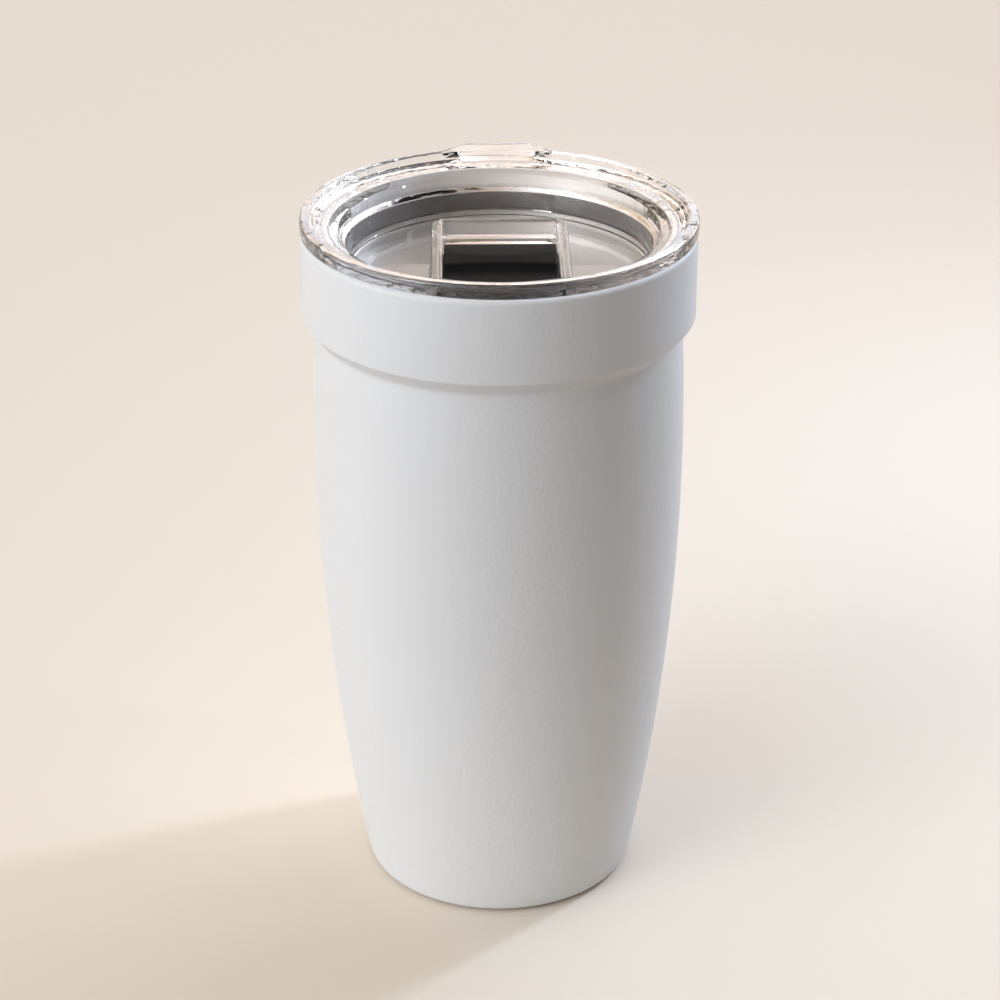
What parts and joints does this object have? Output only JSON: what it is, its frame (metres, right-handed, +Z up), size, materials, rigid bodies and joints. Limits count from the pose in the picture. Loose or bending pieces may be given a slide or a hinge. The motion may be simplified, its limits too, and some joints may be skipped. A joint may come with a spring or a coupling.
{
  "type": "insulated tumbler",
  "caption": "Double-walled steel tumbler with a wide stepped collar and a clear press-in lid that has a lift tab and a sliding sip closure.",
  "frame": {"origin": "centre of the foot pad's underside, on the cup's axis", "axes": "+Z up along the cup's axis, sip opening and slider towards -Y, lift tab towards +Y, +X to the right when the sip side faces the viewer"},
  "size_m": [0.092, 0.0956, 0.1707],
  "materials": {
    "powder_coat": "fine-textured matte powder coat, white",
    "brushed_steel": "circular brushed stainless steel",
    "foil": "thin bright foil",
    "solder_glass": "dark fused glass bead",
    "getter_metal": "pressed grey metal powder",
    "foot_silicone": "matte non-slip silicone",
    "clear_plastic": "clear glossy moulded copolyester",
    "gasket_silicone": "grey satin silicone",
    "black_plastic": "fine-textured matte black",
    "seal_silicone": "matte black silicone"
  },
  "bodies": {
    "cup": {"outer_shell": "powder_coat", "inner_liner": "brushed_steel", "liner_floor": "brushed_steel", "foil_wrap": "foil", "vacuum_plate": "brushed_steel", "vacuum_seal": "solder_glass", "getter": "getter_metal", "getter_clip": "brushed_steel", "base_cover": "brushed_steel", "foot_pad": "foot_silicone"},
    "gasket": {"lid_gasket": "gasket_silicone"},
    "lid": {"lid_body": "clear_plastic"},
    "slider": {"slider": "black_plastic", "slider_seal": "seal_silicone"}
  },
  "joints": [
    {"name": "lid_lift", "type": "slide", "parent": "cup", "child": "gasket", "axis": [0, 0, 1], "range_m": [0, 0.03]},
    {"name": "lid_turn", "type": "hinge", "parent": "gasket", "child": "lid", "pos_m": [0, 0, 0.1604], "axis": [0, 0, 1], "continuous": true},
    {"name": "slider_slide", "type": "slide", "parent": "lid", "child": "slider", "axis": [0, 1, 0], "range_m": [0, 0.0135]}
  ]
}
